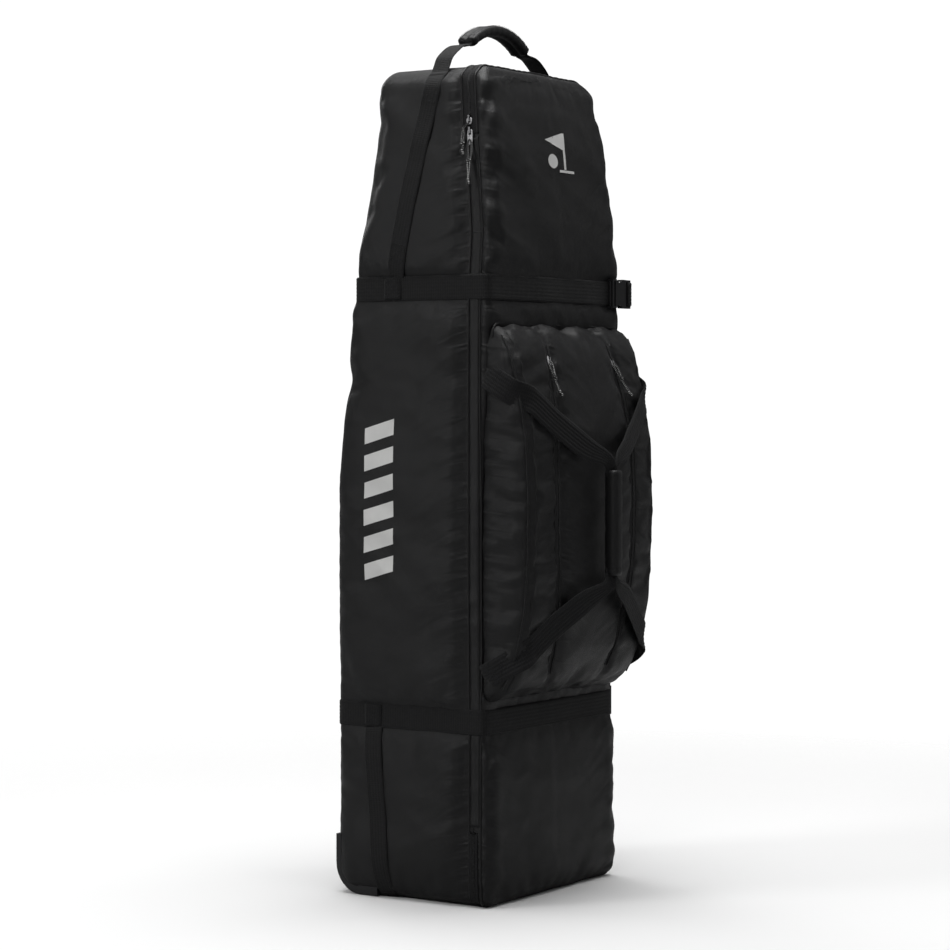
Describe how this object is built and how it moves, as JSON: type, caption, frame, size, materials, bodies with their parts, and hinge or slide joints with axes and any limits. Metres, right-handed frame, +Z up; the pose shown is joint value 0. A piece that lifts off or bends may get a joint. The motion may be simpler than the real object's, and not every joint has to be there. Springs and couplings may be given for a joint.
{
  "type": "golf travel case",
  "caption": "Upright soft golf travel case with wheels, a zipped front door, a bowed front pocket, compression straps and carry handles.",
  "frame": {"origin": "on the floor, at the centre of the base's width and depth", "axes": "+Z up along the case, -Y out of the front door, +X to the right of someone facing the front"},
  "size_m": [0.397, 0.4, 1.3296],
  "materials": {
    "body_fabric": "satin coated weave",
    "zip_tape": "matte",
    "zip_coil": "satin",
    "webbing": "matte",
    "moulded_plastic": "satin",
    "board": "matte",
    "foam": "matte",
    "steel": "satin",
    "tyre": "matte",
    "slider_metal": "gloss",
    "pull_cord": "matte with light flecks"
  },
  "bodies": {
    "shell": {"left_side_panel": "body_fabric", "right_side_panel": "body_fabric", "back_panel": "body_fabric", "top_panel": "body_fabric", "bottom_panel": "body_fabric", "hinge_strip": "body_fabric", "zip_tape_body": "zip_tape", "zip_teeth_body": "zip_coil", "back_board": "board", "base_board": "board", "hood_foam": "foam", "inner_tie_straps": "webbing", "inner_tie_buckles": "moulded_plastic", "kick_plate": "moulded_plastic", "wheel_housing_left": "moulded_plastic", "wheel_housing_right": "moulded_plastic", "housing_screws": "steel", "wheel_axles": "steel", "axle_nuts": "steel", "upper_strap_body": "webbing", "lower_strap_body": "webbing", "handle_webs": "webbing", "lower_side_webs": "webbing", "strap_patches": "webbing"},
    "lid": {"lid_panel": "body_fabric", "zip_tape_lid": "zip_tape", "zip_teeth_lid": "zip_coil", "front_pocket": "body_fabric", "pocket_zip_tapes": "zip_tape", "pocket_zip_teeth": "zip_coil", "upper_strap_front": "webbing", "lower_strap_front": "webbing", "upper_buckle_socket": "moulded_plastic", "lower_buckle_socket": "moulded_plastic", "haul_anchors": "webbing"},
    "wheel_left": {"wheel_core_left": "moulded_plastic", "wheel_tyre_left": "tyre", "wheel_bearings_left": "steel"},
    "wheel_right": {"wheel_core_right": "moulded_plastic", "wheel_tyre_right": "tyre", "wheel_bearings_right": "steel"},
    "upper_plug": {"upper_buckle_plug": "moulded_plastic", "upper_strap_tail": "webbing"},
    "upper_prong_t": {"upper_prong_top": "moulded_plastic"},
    "upper_prong_b": {"upper_prong_bottom": "moulded_plastic"},
    "lower_plug": {"lower_buckle_plug": "moulded_plastic", "lower_strap_tail": "webbing"},
    "lower_prong_t": {"lower_prong_top": "moulded_plastic"},
    "lower_prong_b": {"lower_prong_bottom": "moulded_plastic"},
    "main_slider_a": {"zip_slider_a": "slider_metal"},
    "main_pull_a": {"zip_pull_a": "pull_cord"},
    "main_slider_b": {"zip_slider_b": "slider_metal"},
    "main_pull_b": {"zip_pull_b": "pull_cord"},
    "pocket_slider_l": {"pocket_slider_left": "slider_metal"},
    "pocket_pull_l": {"pocket_pull_left": "pull_cord"},
    "pocket_slider_r": {"pocket_slider_right": "slider_metal"},
    "pocket_pull_r": {"pocket_pull_right": "pull_cord"},
    "top_handle": {"top_handle_web": "webbing", "top_handle_grip": "webbing"},
    "haul_grip": {"haul_handle": "webbing"}
  },
  "joints": [
    {"name": "lid_hinge", "type": "hinge", "parent": "shell", "child": "lid", "pos_m": [-0.184, -0.12, 0.62], "axis": [0, 0, -1], "range_deg": [0, 150]},
    {"name": "wheel_left_spin", "type": "hinge", "parent": "shell", "child": "wheel_left", "pos_m": [-0.153, 0.1, 0.038], "axis": [1, 0, 0], "continuous": true},
    {"name": "wheel_right_spin", "type": "hinge", "parent": "shell", "child": "wheel_right", "pos_m": [0.153, 0.1, 0.038], "axis": [1, 0, 0], "continuous": true},
    {"name": "upper_plug_slide", "type": "slide", "parent": "shell", "child": "upper_plug", "axis": [1, 0, 0], "range_m": [0, 0.03]},
    {"name": "upper_prong_t_flex", "type": "hinge", "parent": "upper_plug", "child": "upper_prong_t", "pos_m": [0.1842, -0.1548, 0.932], "axis": [0, -1, 0], "range_deg": [0, 5], "stiffness_Nm_per_rad": 0.6},
    {"name": "upper_prong_b_flex", "type": "hinge", "parent": "upper_plug", "child": "upper_prong_b", "pos_m": [0.1842, -0.1548, 0.902], "axis": [0, 1, 0], "range_deg": [0, 5], "stiffness_Nm_per_rad": 0.6},
    {"name": "lower_plug_slide", "type": "slide", "parent": "shell", "child": "lower_plug", "axis": [0, 1, 0], "range_m": [0, 0.03]},
    {"name": "lower_prong_t_flex", "type": "hinge", "parent": "lower_plug", "child": "lower_prong_t", "pos_m": [0.1926, -0.0878, 0.289], "axis": [1, 0, 0], "range_deg": [0, 5], "stiffness_Nm_per_rad": 0.6},
    {"name": "lower_prong_b_flex", "type": "hinge", "parent": "lower_plug", "child": "lower_prong_b", "pos_m": [0.1926, -0.0878, 0.259], "axis": [-1, 0, 0], "range_deg": [0, 5], "stiffness_Nm_per_rad": 0.6},
    {"name": "main_slider_b_slide", "type": "slide", "parent": "shell", "child": "main_slider_b", "axis": [0.0938, 0.1246, 0.9878], "range_m": [0, 0.035]},
    {"name": "main_slider_a_slide", "type": "slide", "parent": "shell", "child": "main_slider_a", "axis": [0.0938, 0.1246, 0.9878], "range_m": [0, 0.035]},
    {"name": "main_pull_a_swing", "type": "hinge", "parent": "main_slider_a", "child": "main_pull_a", "pos_m": [-0.16414, -0.10108, 1.15046], "axis": [-0.0118, 0.9922, -0.124], "range_deg": [0, 110]},
    {"name": "main_pull_b_swing", "type": "hinge", "parent": "main_slider_b", "child": "main_pull_b", "pos_m": [-0.16243, -0.09881, 1.16846], "axis": [-0.0118, 0.9922, -0.124], "range_deg": [0, 110]},
    {"name": "pocket_slider_l_run", "type": "hinge", "parent": "lid", "child": "pocket_slider_l", "pos_m": [0.21319, 0.3424, 0.6], "axis": [0.8675, -0.4974, 0], "range_deg": [0, 42]},
    {"name": "pocket_pull_l_swing", "type": "hinge", "parent": "pocket_slider_l", "child": "pocket_pull_l", "pos_m": [-0.08772, -0.18732, 0.82145], "axis": [-0.9854, 0.0504, 0.1624], "range_deg": [0, 90]},
    {"name": "pocket_slider_r_run", "type": "hinge", "parent": "lid", "child": "pocket_slider_r", "pos_m": [-0.21319, 0.3424, 0.6], "axis": [0.8675, 0.4974, 0], "range_deg": [0, 42]},
    {"name": "pocket_pull_r_swing", "type": "hinge", "parent": "pocket_slider_r", "child": "pocket_pull_r", "pos_m": [0.08772, -0.18732, 0.82145], "axis": [-0.9854, -0.0504, -0.1624], "range_deg": [0, 90]},
    {"name": "top_handle_tilt", "type": "hinge", "parent": "shell", "child": "top_handle", "pos_m": [0, -0.034, 1.267], "axis": [1, 0, 0], "range_deg": [-80, 80]},
    {"name": "haul_grip_lift", "type": "slide", "parent": "lid", "child": "haul_grip", "axis": [0, -1, 0], "range_m": [0, 0.03]}
  ],
  "couplings": [
    {"joint": "main_slider_a_slide", "follows": "main_slider_b_slide", "ratio": 1}
  ]
}
